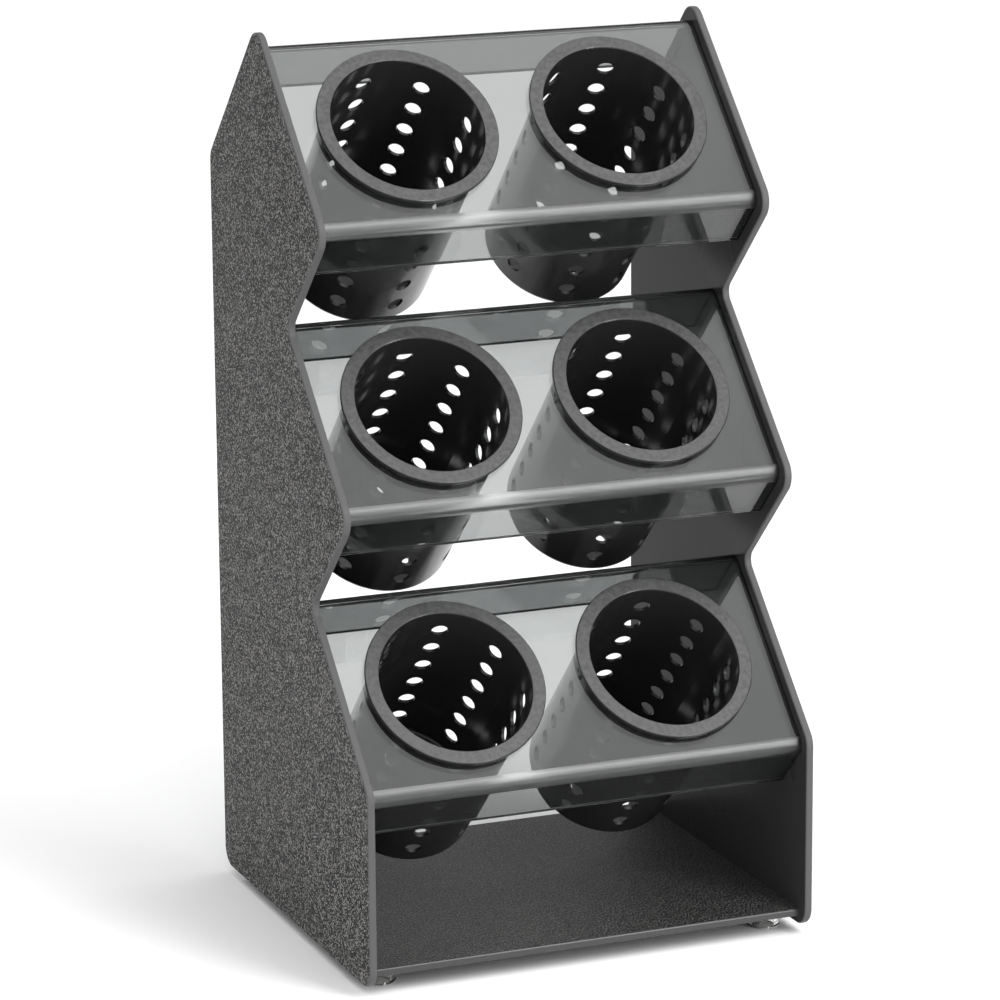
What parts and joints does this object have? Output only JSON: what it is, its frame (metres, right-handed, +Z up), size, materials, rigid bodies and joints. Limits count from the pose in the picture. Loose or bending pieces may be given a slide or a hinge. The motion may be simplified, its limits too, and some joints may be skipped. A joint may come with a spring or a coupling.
{
  "type": "tiered cylinder organizer",
  "caption": "Tiered countertop stand with zigzag side panels and tilted smoke-grey decks holding removable black perforated cylinders for brushes, pens, bottles or flatware.",
  "frame": {"origin": "on the surface the feet stand on, under the middle of the stand's width and depth", "axes": "+Z up, front faces -Y, +X to the right when facing the front"},
  "size_m": [0.295, 0.2694, 0.5627],
  "materials": {
    "textured_black_sheet": "fine haircell texture on the flat faces, smooth rounded edges",
    "smoke_acrylic": "polished transparent smoke grey",
    "black_moulding": "glossy walls, satin rim",
    "clear_bumper": "clear and glossy",
    "foot_adhesive": "thin clear adhesive layer"
  },
  "bodies": {
    "stand": {"left_side_panel": "textured_black_sheet", "right_side_panel": "textured_black_sheet", "base_panel": "textured_black_sheet", "upper_deck": "smoke_acrylic", "middle_deck": "smoke_acrylic", "lower_deck": "smoke_acrylic", "front_left_foot": "clear_bumper", "front_left_foot_disc": "foot_adhesive", "front_right_foot": "clear_bumper", "front_right_foot_disc": "foot_adhesive", "rear_left_foot": "clear_bumper", "rear_left_foot_disc": "foot_adhesive", "rear_right_foot": "clear_bumper", "rear_right_foot_disc": "foot_adhesive"},
    "upper_left_cylinder": {"upper_left_cylinder": "black_moulding"},
    "upper_right_cylinder": {"upper_right_cylinder": "black_moulding"},
    "middle_left_cylinder": {"middle_left_cylinder": "black_moulding"},
    "middle_right_cylinder": {"middle_right_cylinder": "black_moulding"},
    "lower_left_cylinder": {"lower_left_cylinder": "black_moulding"},
    "lower_right_cylinder": {"lower_right_cylinder": "black_moulding"}
  },
  "joints": [
    {"name": "upper_left_cylinder_lift", "type": "slide", "parent": "stand", "child": "upper_left_cylinder", "axis": [0, -0.7071, 0.7071], "range_m": [0, 0.16]},
    {"name": "upper_right_cylinder_lift", "type": "slide", "parent": "stand", "child": "upper_right_cylinder", "axis": [0, -0.7071, 0.7071], "range_m": [0, 0.16]},
    {"name": "middle_left_cylinder_lift", "type": "slide", "parent": "stand", "child": "middle_left_cylinder", "axis": [0, -0.7071, 0.7071], "range_m": [0, 0.16]},
    {"name": "middle_right_cylinder_lift", "type": "slide", "parent": "stand", "child": "middle_right_cylinder", "axis": [0, -0.7071, 0.7071], "range_m": [0, 0.16]},
    {"name": "lower_left_cylinder_lift", "type": "slide", "parent": "stand", "child": "lower_left_cylinder", "axis": [0, -0.7071, 0.7071], "range_m": [0, 0.16]},
    {"name": "lower_right_cylinder_lift", "type": "slide", "parent": "stand", "child": "lower_right_cylinder", "axis": [0, -0.7071, 0.7071], "range_m": [0, 0.16]}
  ]
}
